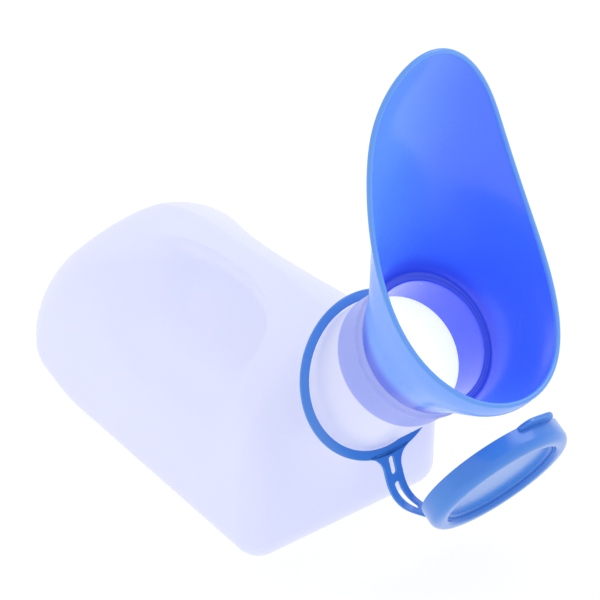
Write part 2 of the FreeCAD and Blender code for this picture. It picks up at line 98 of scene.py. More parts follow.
# ---------------------------------------------------------------- shader graph
class Socket:
    """A shader value that can be written in formulas."""

    def __init__(self, graph: "Graph", source: "bpy.types.NodeSocket") -> None:
        """Keep the output and the graph it belongs to."""
        self.graph = graph
        self.source = source

    def _maths(self, operation: str, *values: "Socket | float") -> "Socket":
        """Result of one maths node on the values."""
        node = self.graph.add("ShaderNodeMath", {"operation": operation}, dict(enumerate(values)))
        return Socket(self.graph, node.outputs[0])

    def __add__(self, other: "Socket | float") -> "Socket":
        """This value plus another."""
        return self._maths("ADD", self, other)

    def __radd__(self, other: float) -> "Socket":
        """A number plus this value."""
        return self._maths("ADD", other, self)

    def __sub__(self, other: "Socket | float") -> "Socket":
        """This value less another."""
        return self._maths("SUBTRACT", self, other)

    def __rsub__(self, other: float) -> "Socket":
        """A number less this value."""
        return self._maths("SUBTRACT", other, self)

    def __mul__(self, other: "Socket | float") -> "Socket":
        """This value times another."""
        return self._maths("MULTIPLY", self, other)

    def __rmul__(self, other: float) -> "Socket":
        """A number times this value."""
        return self._maths("MULTIPLY", other, self)

    def between(self, low: float, high: float) -> "Socket":
        """Smooth ramp from 0 at low to 1 at high.

        Args:
            low: value where the ramp starts.
            high: value where the ramp ends.

        Returns:
            The ramp as a socket.
        """
        node = self.graph.add("ShaderNodeMapRange", {"interpolation_type": "SMOOTHSTEP"},
                              {"Value": self, "From Min": low, "From Max": high})
        return Socket(self.graph, node.outputs["Result"])


class Graph:
    """Node tree of one material."""

    def __init__(self, name: str) -> None:
        """Start a material with its principled surface."""
        self.material = bpy.data.materials.new(name)
        self.material.use_nodes = True
        self.tree = self.material.node_tree
        self.surface = self.tree.nodes["Principled BSDF"]

    def add(self, kind: str, settings: "dict[str, object] | None" = None,
            values: "dict[str | int, object] | None" = None) -> "bpy.types.Node":
        """Create any node.

        Args:
            kind: node type name.
            settings: properties of the node, set first.
            values: constants or links of its inputs.

        Returns:
            The new node.
        """
        node = self.tree.nodes.new(kind)
        for key, value in (settings or {}).items():
            setattr(node, key, value)
        for key, value in (values or {}).items():
            self.feed(node.inputs[key], value)
        return node

    def feed(self, target: "bpy.types.NodeSocket", value: object) -> None:
        """Link a socket, or set a constant, on an input.

        Args:
            target: input to drive.
            value: Socket, number or colour.
        """
        if isinstance(value, Socket):
            self.tree.links.new(value.source, target)
        else:
            target.default_value = value

    def place(self) -> Socket:
        """Object coordinates, in metres."""
        return Socket(self, self.add("ShaderNodeTexCoord").outputs["Object"])

    def axis(self, name: str) -> Socket:
        """One object coordinate.

        Args:
            name: "X", "Y" or "Z".

        Returns:
            The coordinate in metres.
        """
        return Socket(self, self.add("ShaderNodeSeparateXYZ", None, {0: self.place()}).outputs[name])

    def along_neck(self) -> Socket:
        """Distance past the lip, up the neck."""
        return ((self.axis("X") - LIP[0] * MM) * UP_THE_NECK[0]
                + (self.axis("Z") - LIP[2] * MM) * UP_THE_NECK[2])

    def noise(self, scale: float, detail: float = 2.0) -> Socket:
        """Cloudy noise from 0 to 1.

        Args:
            scale: features per metre.
            detail: finer layers.

        Returns:
            The noise.
        """
        node = self.add("ShaderNodeTexNoise", None,
                        {"Vector": self.place(), "Scale": scale, "Detail": detail})
        return Socket(self, node.outputs[0])

    def mix(self, factor: Socket, first: "Sequence[float] | Socket",
            second: "Sequence[float] | Socket") -> Socket:
        """Blend two colours.

        Args:
            factor: 0 gives the first colour and 1 the second.
            first: linear colour.
            second: linear colour.

        Returns:
            The blended colour.
        """
        pair = [c if isinstance(c, Socket) else (*c, 1.0) for c in (first, second)]
        node = self.add("ShaderNodeMix", {"data_type": "RGBA"}, {0: factor, 6: pair[0], 7: pair[1]})
        return Socket(self, node.outputs[2])


@dataclass(frozen=True)
class Polyethylene:
    """A plain moulded plastic finish.

    Args:
        name: material name.
        colour: linear base colour.
        painted_glow: painted light, an emission of its own colour standing in for the light the thin wall
            passes on from behind.
        roughness: surface roughness.
        scatter: subsurface weight.
        gloss: clear coat weight.
        grain: depth of the moulded skin's fine unevenness, in metres.
    """

    name: str
    colour: tuple[float, float, float]
    painted_glow: float = 0.0
    roughness: float = 0.3
    scatter: float = 0.0
    gloss: float = 0.0
    grain: float = 0.00003

    def graph(self) -> Graph:
        """Make the material's node tree with the constant inputs set."""
        graph = Graph(self.name)
        inputs = graph.surface.inputs
        inputs["Base Color"].default_value = (*self.colour, 1.0)
        inputs["Roughness"].default_value = self.roughness
        inputs["Subsurface Weight"].default_value = self.scatter
        inputs["Subsurface Radius"].default_value = (1.0, 1.0, 1.0)
        inputs["Subsurface Scale"].default_value = 0.006
        inputs["Coat Weight"].default_value = self.gloss
        inputs["Coat Roughness"].default_value = 0.12
        # painted light: emission of the material's own colour makes it shine as if lit from behind, though it
        # is no lamp
        inputs["Emission Color"].default_value = (*self.colour, 1.0)
        inputs["Emission Strength"].default_value = self.painted_glow
        graph.feed(inputs["Roughness"], graph.noise(35.0) * 0.12 + (self.roughness - 0.06))
        skin = graph.add("ShaderNodeBump", None,
                         {"Strength": 0.25, "Distance": self.grain, "Height": graph.noise(420.0, 3.0)})
        graph.feed(inputs["Normal"], Socket(graph, skin.outputs[0]))
        return graph

    def material(self) -> "bpy.types.Material":
        """Make the material."""
        return self.graph().material


@dataclass(frozen=True)
class NaturalShell(Polyethylene):
    """Translucent body finish: the blue spigot shows through the neck as a violet band.

    Args:
        band: linear colour where the spigot shows through.
        band_start: distance below the lip where the band ends, in metres.
    """

    band: tuple[float, float, float] = (0.30, 0.36, 0.80)
    band_start: float = 0.021

    def material(self) -> "bpy.types.Material":
        """Make the material."""
        graph = self.graph()
        shade = graph.along_neck().between(-self.band_start - 0.0006, -self.band_start + 0.0006)
        cloud = graph.mix(graph.noise(14.0), self.colour, tuple(0.96 * c for c in self.colour))
        tint = graph.mix(shade, cloud, self.band)
        graph.feed(graph.surface.inputs["Base Color"], tint)
        graph.feed(graph.surface.inputs["Emission Color"], tint)
        return graph.material


@dataclass(frozen=True)
class ScoopBlue(Polyethylene):
    """Scoop finish with painted light and shade: painted lighter on the near side, painted shade on the far
    side and at its foot on the neck.

    Args:
        far_side_shade: linear colour of the painted shade on the far side.
        collar_shade: linear colour of the painted shade at the foot, where the scoop meets the neck.
    """

    far_side_shade: tuple[float, float, float] = (0.06, 0.17, 0.93)
    collar_shade: tuple[float, float, float] = (0.045, 0.10, 0.72)

    def material(self) -> "bpy.types.Material":
        """Make the material."""
        graph = self.graph()
        # painted light and shade: the near side takes the lit colour and the far side the darker one, with a
        # little noise
        far_side_shade_mask = graph.axis("Y") + graph.noise(18.0) * 0.03
        wall = graph.mix(far_side_shade_mask.between(-0.005, 0.045), self.colour, self.far_side_shade)
        # painted shade: darker at the foot of the scoop, where it meets the neck
        tint = graph.mix(1 - graph.along_neck().between(0.004, 0.013), wall, self.collar_shade)
        graph.feed(graph.surface.inputs["Base Color"], tint)
        graph.feed(graph.surface.inputs["Emission Color"], tint)
        return graph.material


# ---------------------------------------------------------------- meshes
def make_object(name: str, verts: np.ndarray, faces: Sequence[Sequence[int]], finish: "bpy.types.Material",
                sharp: float = 40.0) -> "bpy.types.Object":
    """Make a smooth-shaded mesh object from millimetre points in the frame.

    Args:
        name: object name.
        verts: points, one row each.
        faces: loops of point numbers.
        finish: material.
        sharp: angle in degrees above which an edge stays crisp.

    Returns:
        The object, linked to the scene.
    """
    mesh = bpy.data.meshes.new(name)
    mesh.from_pydata((np.asarray(verts) * MM).tolist(), [], [list(map(int, f)) for f in faces])
    mesh.validate()
    mesh.materials.append(finish)
    mesh.shade_smooth()
    mesh.set_sharp_from_angle(angle=math.radians(sharp))
    obj = bpy.data.objects.new(name, mesh)
    bpy.context.scene.collection.objects.link(obj)
    return obj


def lattice(rows: int, columns: int, loop_rows: bool = False) -> list[tuple[int, int, int, int]]:
    """Quads of a grid of points whose columns close round.

    Args:
        rows: number of rows of points.
        columns: number of points in a row.
        loop_rows: whether the last row joins the first.

    Returns:
        The quads.
    """
    quads = []
    for r in range(rows if loop_rows else rows - 1):
        below, above = r * columns, ((r + 1) % rows) * columns
        for c in range(columns):
            d = (c + 1) % columns
            quads.append((below + c, below + d, above + d, above + c))
    return quads


def revolve(profile: Sequence[tuple[float, float]], columns: int = 128) -> tuple[np.ndarray, list]:
    """Turn a (radius, height) profile round local Z.

    Args:
        profile: profile points; radius 0 closes the surface.
        columns: points round the axis.

    Returns:
        Points and quads.
    """
    angle = np.linspace(0, 2 * math.pi, columns, endpoint=False)
    rows = [np.stack([r * np.cos(angle), r * np.sin(angle), np.full(columns, h)], -1) for r, h in profile]
    return np.concatenate(rows), lattice(len(profile), columns)


def arc(centre: tuple[float, float], radius: float, start: float, end: float, steps: int = 6) -> list:
    """Points of an arc in a profile.

    Args:
        centre: middle of the arc.
        radius: its radius.
        start: first angle in degrees.
        end: last angle in degrees.
        steps: number of pieces.

    Returns:
        The points as pairs.
    """
    angles = np.radians(np.linspace(start, end, steps + 1))
    return [(centre[0] + radius * math.cos(a), centre[1] + radius * math.sin(a)) for a in angles]


def surface_nets(form: Callable[[np.ndarray], np.ndarray], low: np.ndarray, high: np.ndarray,
                 step: float) -> tuple[np.ndarray, np.ndarray]:
    """Mesh the zero surface of a signed form.

    Args:
        form: signed distance of points, negative inside.
        low: lowest corner of the grid.
        high: highest corner of the grid.
        step: grid pitch.

    Returns:
        Points on the surface and quads facing outwards.
    """
    axes = [np.arange(a, b + step, step) for a, b in zip(low, high)]
    value = form(np.stack(np.meshgrid(*axes, indexing="ij"), -1))
    size = [n - 1 for n in value.shape]
    total, count = np.zeros((*size, 3)), np.zeros(size)

    def corner(at: Sequence[int]) -> np.ndarray:
        """Values at one corner of every grid cell."""
        return value[at[0]:at[0] + size[0], at[1]:at[1] + size[1], at[2]:at[2] + size[2]]

    for first in np.ndindex(2, 2, 2):
        for axis in (a for a in range(3) if not first[a]):
            second = list(first)
            second[axis] = 1
            near, far = corner(first), corner(second)
            crosses = (near < 0) != (far < 0)
            share = np.where(crosses, near / np.where(crosses, near - far, 1.0), 0.0)
            for d in range(3):
                total[..., d] += np.where(crosses, first[d] + (share if d == axis else 0.0), 0.0)
            count += crosses
    live = count > 0
    number = np.full(size, -1)
    number[live] = np.arange(live.sum())
    points = low + step * (np.argwhere(live) + total[live] / count[live][:, None])
    quads = []
    for axis in range(3):
        u, v = np.eye(3, dtype=int)[(axis + 1) % 3], np.eye(3, dtype=int)[(axis + 2) % 3]
        near = np.take(value, range(value.shape[axis] - 1), axis) < 0
        far = np.take(value, range(1, value.shape[axis]), axis) < 0
        edge = np.argwhere(near != far)
        edge = edge[((edge - u - v) >= 0).all(1) & (edge < np.array(size)).all(1)]
        quad = np.stack([number[tuple((edge - shift).T)] for shift in (0 * u, u, u + v, v)], -1)
        flip = ~near[tuple(edge.T)]
        quad[flip] = quad[flip][:, ::-1]
        quads.append(quad)
    nudge = 0.02
    for _ in range(4):
        here = form(points)
        slope = np.stack([(form(points + nudge * e) - form(points - nudge * e)) / (2 * nudge)
                          for e in np.eye(3)], -1)
        move = here[:, None] * slope / np.maximum((slope ** 2).sum(1), 0.05)[:, None]
        points = points - np.clip(move, -0.5 * step, 0.5 * step)
    return points, np.concatenate(quads)


def rounded(radius: float | np.ndarray, *forms: np.ndarray) -> np.ndarray:
    """Overlap of forms whose shared edges are rounded.

    Args:
        radius: rounding radius.
        *forms: signed distances.

    Returns:
        Signed distance of the overlap.
    """
    inner = np.stack(forms) + radius
    return np.sqrt((np.maximum(inner, 0.0) ** 2).sum(0)) - radius + np.minimum(inner.max(0), 0.0)


def melted(width: float, first: np.ndarray, second: np.ndarray) -> np.ndarray:
    """Join of two forms with a hollow fillet.

    Args:
        width: size of the fillet.
        first: signed distances.
        second: signed distances.

    Returns:
        Signed distance of the join.
    """
    share = np.clip(0.5 + 0.5 * (second - first) / width, 0.0, 1.0)
    return second * (1 - share) + first * share - width * share * (1 - share)


def ramp(value: np.ndarray, low: float | np.ndarray, high: float | np.ndarray) -> np.ndarray:
    """Smooth step from 0 at low to 1 at high.

    Args:
        value: input.
        low: start of the step.
        high: end of the step.

    Returns:
        The step.
    """
    t = np.clip((value - low) / (high - low), 0.0, 1.0)
    return t * t * (3 - 2 * t)


# ---------------------------------------------------------------- bottle
@dataclass
class BottleShell:
    """Blow-moulded body: a domed block with sloping flanks, a grip recess each side and a slanted neck."""

    length: float = 195.0
    width: float = 106.0
    height: float = 110.0
    plinth: float = 10.0
    flank_foot: float = 61.0
    ridge_half: float = 9.0
    brow_cut: float = 26.0
    soft_edge: float = 18.0
    base_edge: float = 12.0
    neck_radius: float = 28.2
    neck_root: float = 18.0
    neck_inner_end: float = 92.0
    wall: float = 1.75
    bead: float = 1.0
    bead_at: float = -5.4
    recess_middle: tuple[float, float] = (23.0, 43.0)
    recess_reach: tuple[float, float] = (46.0, 27.0)
    recess_depth: float = 12.0
    far_recess_drop: float = 4.0
    rear_soft: float = 8.0
    rear_foot: float = 12.0
    front_crisp: float = 6.0
    peak_ease: float = 1.8
    pitch: float = 1.5

    def recess(self, x: np.ndarray, slope_up: np.ndarray) -> np.ndarray:
        """Depth of the finger recess: crisp at its top and front, fading out below and behind.

        Args:
            x: position along the body.
            slope_up: position up the flank.

        Returns:
            Depth pressed into the flank.
        """
        u = (x - self.recess_middle[0]) / self.recess_reach[0]
        v = (slope_up - self.recess_middle[1]) / self.recess_reach[1]
        reach = (np.abs(u) ** 2.6 + np.abs(v) ** 2.6) ** (1 / 2.6)
        soft = ramp(-0.55 * u - v, -0.7, 0.6)
        return self.recess_depth * (1 - ramp(reach, 0.8 - 0.8 * soft, 1.02 + 0.5 * soft))

    def form(self, points: np.ndarray) -> np.ndarray:
        """Signed distance of the outside.

        Args:
            points: places in millimetres.

        Returns:
            Distance, negative inside.
        """
        x, y, z = points[..., 0], np.abs(points[..., 1]), points[..., 2]
        run = (self.height - self.flank_foot) / (self.width / 2 - self.ridge_half)
        lean = np.array([run, 1.0]) / math.hypot(run, 1.0)
        side = y - self.width / 2
        flank = lean[0] * side + lean[1] * (z - self.flank_foot)
        bend = self.height - self.plinth - self.length / 2
        dome = np.hypot(np.minimum(x - bend, 0), np.maximum(z - self.plinth, 0)) - self.height + self.plinth
        dome = dome + self.peak_ease * np.exp(-(x / 40) ** 2)
        front = x - self.length / 2
        brow = (x + z - self.length / 2 - self.height + self.brow_cut) * math.sqrt(0.5)
        rear = ramp(-x, 45.0, 90.0)
        soft = self.soft_edge + self.rear_soft * rear - self.front_crisp * ramp(x, 60.0, 90.0)
        block = rounded(soft, side, flank, dome, front, brow)
        slope_up = lean[0] * z - lean[1] * y + self.far_recess_drop * (points[..., 1] > 0)
        block = rounded(self.base_edge + self.rear_foot * rear, block + self.recess(x, slope_up), -z)
        offset = points - LIP
        along = offset @ UP_THE_NECK
        bump = self.bead * np.exp(-((along - self.bead_at) / 0.9) ** 2)
        tube = np.hypot(offset @ BACK_OFF_NECK, y) - self.neck_radius - bump
        tube = np.maximum(tube, -along - self.neck_inner_end)
        tube = np.maximum(tube, along - 4.0)
        return melted(self.neck_root, block, tube)

    def skin(self, inset: float) -> tuple[np.ndarray, np.ndarray]:
        """One face of the wall, cut flush at the lip.

        Args:
            inset: 0 for the outside, the wall for the inside.

        Returns:
            Points and quads.
        """
        low = np.array([-self.length / 2 - 4, -self.width / 2 - 4, -4.0])
        high = np.array([LIP[0] + 26, self.width / 2 + 4, LIP[2] + 26])
        points, quads = surface_nets(lambda p: self.form(p) + inset, low, high, self.pitch)
        along = (points - LIP) @ UP_THE_NECK
        quads = quads[(along[quads] <= 0).any(1)]
        points = points - UP_THE_NECK * np.maximum(along, 0)[:, None]
        return points, quads

    def build(self, finish: "bpy.types.Material", inside: "bpy.types.Material") -> "bpy.types.Object":
        """Make the shell.

        Args:
            finish: material of the outside.
            inside: material of the inner face, painted lighter than the outside and given strong painted
                light from emission.

        Returns:
            The object.
        """
        outer, outer_quads = self.skin(0.0)
        inner, inner_quads = self.skin(self.wall)
        half = self.wall / 2
        lip, lip_quads = revolve(arc((self.neck_radius - half, 0), half, 0, 360, 12), 128)
        lip = LIP + lip[:, :1] * BACK_OFF_NECK + lip[:, 1:2] * ACROSS + lip[:, 2:] * UP_THE_NECK
        points = np.concatenate([outer, inner, lip])
        quads = np.concatenate([outer_quads, inner_quads[:, ::-1] + len(outer),
                                np.array(lip_quads) + len(outer) + len(inner)])
        used = np.unique(quads)
        renumber = np.zeros(len(points), int)
        renumber[used] = np.arange(len(used))
        obj = make_object("bottle_shell", points[used], renumber[quads], finish, 60)
        obj.data.materials.append(inside)
        within = np.zeros(len(quads), np.int32)
        within[len(outer_quads):len(outer_quads) + len(inner_quads)] = 1
        obj.data.polygons.foreach_set("material_index", within)
        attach(obj, Body.BOTTLE.value)
        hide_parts("bottle")
        return obj


# ---------------------------------------------------------------- adapter
class Curve:
    """Natural cubic spline through a few values."""

    def __init__(self, at: Sequence[float], values: Sequence[float]) -> None:
        """Work out the second derivatives.

        Args:
            at: places, rising.
            values: value at each place.
        """
        self.at, self.values = np.array(at, float), np.array(values, float)
        gap = np.diff(self.at)
        size = len(at)
        matrix, right = np.eye(size), np.zeros(size)
        for i in range(1, size - 1):
            matrix[i, i - 1:i + 2] = gap[i - 1], 2 * (gap[i - 1] + gap[i]), gap[i]
            ahead, behind = values[i + 1] - values[i], values[i] - values[i - 1]
            right[i] = 6 * (ahead / gap[i] - behind / gap[i - 1])
        self.second = np.linalg.solve(matrix, right)

    def __call__(self, place: np.ndarray) -> np.ndarray:
        """Value of the curve.

        Args:
            place: where to read it.

        Returns:
            The values.
        """
        i = np.clip(np.searchsorted(self.at, place) - 1, 0, len(self.at) - 2)
        gap = self.at[i + 1] - self.at[i]
        a, b = (self.at[i + 1] - place) / gap, (place - self.at[i]) / gap
        bend = ((a ** 3 - a) * self.second[i] + (b ** 3 - b) * self.second[i + 1]) * gap ** 2 / 6
        return a * self.values[i] + b * self.values[i + 1] + bend


@dataclass
class ScoopAdapter:
    """Scoop on a spigot: elliptical sections up the neck axis, cut by a curved rim with a rolled edge."""

    bore: float = 25.0
    spigot_wall: float = 1.4
    spigot: float = 19.0
    wall: float = 1.6
    gap: float = 0.3
    floor: float = 2.3
    rim_radius: float = 150.0
    rim_offset: float = 15.0
    rim_low: float = 41.0
    roll: float = 1.1
    columns: int = 192
    heights: tuple = (0.3, 16.0, 32.0, 48.0, 57.0, 67.0, 86.0)
    centres: tuple = (0.0, 3.0, 7.0, 14.5, 20.5, 29.0, 42.0)
    depths: tuple = (28.2, 35.5, 45.0, 50.0, 51.5, 52.0, 49.0)
    widths: tuple = (28.2, 31.2, 35.0, 39.0, 43.0, 46.2, 47.5)
    angle: np.ndarray = field(init=False)

    def __post_init__(self) -> None:
        """Set the angles round the scoop and the curves of its sections."""
        self.angle = np.linspace(0, 2 * math.pi, self.columns, endpoint=False)
        sections = (self.centres, self.depths, self.widths)
        self.centre, self.depth, self.side = (Curve(self.heights, v) for v in sections)

    def on_wall(self, height: np.ndarray, inset: float) -> np.ndarray:
        """Points of the wall round the scoop, as (back, across, along).

        Args:
            height: height of the point at each angle.
            inset: distance in from the outside.

        Returns:
            One row for each angle.
        """
        back = self.centre(height) + (self.depth(height) - inset) * np.cos(self.angle)
        return np.stack([back, (self.side(height) - inset) * np.sin(self.angle), height], -1)

    def circle(self, radius: float, along: float) -> np.ndarray:
        """A round row of points about the neck axis.

        Args:
            radius: its radius.
            along: its place past the lip.

        Returns:
            One row for each angle.
        """
        return np.stack([radius * np.cos(self.angle), radius * np.sin(self.angle),
                         np.full(self.columns, along)], -1)

    def rim(self) -> np.ndarray:
        """Height of the rim at each angle, by halving the interval."""
        low, high = np.full(self.columns, 20.0), np.full(self.columns, 86.0)
        for _ in range(40):
            middle = (low + high) / 2
            back = self.on_wall(middle, 0.0)[:, 0] + self.rim_offset
            cut = self.rim_low + self.rim_radius - np.sqrt(np.maximum(self.rim_radius ** 2 - back ** 2, 0))
            above = middle > cut
            high, low = np.where(above, middle, high), np.where(above, low, middle)
        return (low + high) / 2

    def build(self, finish: "bpy.types.Material",
              edge_finish: "bpy.types.Material") -> "list[bpy.types.Object]":
        """Make the scoop and its rolled edge.

        Args:
            finish: material of the scoop.
            edge_finish: material of the rolled edge.

        Returns:
            The objects.
        """
        rim = self.rim()
        outer = self.bore + self.spigot_wall
        rows = [self.circle(self.bore, h) for h in (-self.spigot, -8.0, -1.0)]
        rows += [self.circle(r, h) for r, h in arc((self.bore + 1, self.floor - 1), 1.0, 180, 90, 4)]
        foot = self.on_wall(np.full(self.columns, self.floor + 2.0), self.wall)
        edge = rows[-1]
        for share in (0.3, 0.55):
            rows.append(edge * (1 - share) + np.c_[foot[:, :2], edge[:, 2]] * share)
        for share, rise in ((0.8, 0.25), (0.92, 0.8), (1.0, 2.0)):
            rows.append(np.c_[(edge * (1 - share) + foot * share)[:, :2], edge[:, 2] + rise])
        climb = ramp(np.linspace(0.02, 0.98, 44), -0.15, 1.15)
        span = climb / climb[-1]
        rows += [self.on_wall(foot[:, 2] + (rim - foot[:, 2]) * s, self.wall) for s in span]
        rows += [self.on_wall(self.gap + (rim - self.gap) * s, 0.0) for s in span[::-1]]
        rows += [self.on_wall(np.full(self.columns, self.gap), 0.0), self.circle(outer, self.gap)]
        rows += [self.circle(r, h) for r, h in ((outer, -2.0), (outer, -self.spigot + 0.6),
                                                (outer - 0.6, -self.spigot))]
        local = np.concatenate(rows)
        points = self.to_frame(local)
        quads = [q[::-1] for q in lattice(len(rows), self.columns, loop_rows=True)]
        scoop = make_object("scoop", points, quads, finish, 50)
        roll = self.rolled_edge(self.to_frame(self.on_wall(rim, self.wall / 2)), edge_finish)
        for obj in (scoop, roll):
            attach(obj, Body.ADAPTER.value)
        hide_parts("adapter")
        return [scoop, roll]

    @staticmethod
    def to_frame(local: np.ndarray) -> np.ndarray:
        """Turn (back, across, along) points into the frame.

        Args:
            local: points about the neck axis.

        Returns:
            Points in the frame.
        """
        return LIP + local[:, :1] * BACK_OFF_NECK + local[:, 1:2] * ACROSS + local[:, 2:] * UP_THE_NECK

    def rolled_edge(self, path: np.ndarray, finish: "bpy.types.Material") -> "bpy.types.Object":
        """A round roll that follows the rim.

        Args:
            path: points of the rim in the frame.
            finish: material.

        Returns:
            The object.
        """
        line = bpy.data.curves.new("rim_line", "CURVE")
        line.dimensions = "3D"
        spline = line.splines.new("POLY")
        spline.points.add(len(path) - 1)
        for point, place in zip(spline.points, path * MM):
            point.co = (*place, 1.0)
        spline.use_cyclic_u = True
        return Sweep(radius=self.roll * MM, sides=12).build("scoop_rim", line, finish)


@dataclass
class Sweep:
    """Geometry Nodes: a round section carried along a curve."""

    radius: float
    sides: int

    def build(self, name: str, line: "bpy.types.Curve", finish: "bpy.types.Material") -> "bpy.types.Object":
        """Carry the section along the curve and keep the result as a mesh.

        Args:
            name: object name.
            line: the path.
            finish: material.

        Returns:
            The object.
        """
        tree = bpy.data.node_groups.new(f"{name}_sweep", "GeometryNodeTree")
        tree.interface.new_socket("Geometry", in_out="INPUT", socket_type="NodeSocketGeometry")
        tree.interface.new_socket("Radius", in_out="INPUT", socket_type="NodeSocketFloat")
        tree.interface.new_socket("Geometry", in_out="OUTPUT", socket_type="NodeSocketGeometry")
        enter, leave = tree.nodes.new("NodeGroupInput"), tree.nodes.new("NodeGroupOutput")
        section = tree.nodes.new("GeometryNodeCurvePrimitiveCircle")
        section.inputs["Resolution"].default_value = self.sides
        carry = tree.nodes.new("GeometryNodeCurveToMesh")
        real = tree.nodes.new("GeometryNodeRealizeInstances")
        paint = tree.nodes.new("GeometryNodeSetMaterial")
        paint.inputs["Material"].default_value = finish
        for source, target in ((enter.outputs["Geometry"], carry.inputs["Curve"]),
                               (enter.outputs["Radius"], section.inputs["Radius"]),
                               (section.outputs["Curve"], carry.inputs["Profile Curve"]),
                               (carry.outputs[0], real.inputs[0]), (real.outputs[0], paint.inputs[0]),
                               (paint.outputs[0], leave.inputs[0])):
            tree.links.new(source, target)
        carrier = bpy.data.objects.new(f"{name}_path", line)
        bpy.context.scene.collection.objects.link(carrier)
        modifier = carrier.modifiers.new("sweep", "NODES")
        modifier.node_group = tree
        radius = next(s.identifier for s in tree.interface.items_tree if s.name == "Radius")
        modifier[radius] = self.radius
        bpy.context.view_layer.update()
        ready = carrier.evaluated_get(bpy.context.evaluated_depsgraph_get())
        mesh = bpy.data.meshes.new_from_object(ready)
        bpy.data.objects.remove(carrier)
        mesh.shade_smooth()
        obj = bpy.data.objects.new(name, mesh)
        bpy.context.scene.collection.objects.link(obj)
        return obj


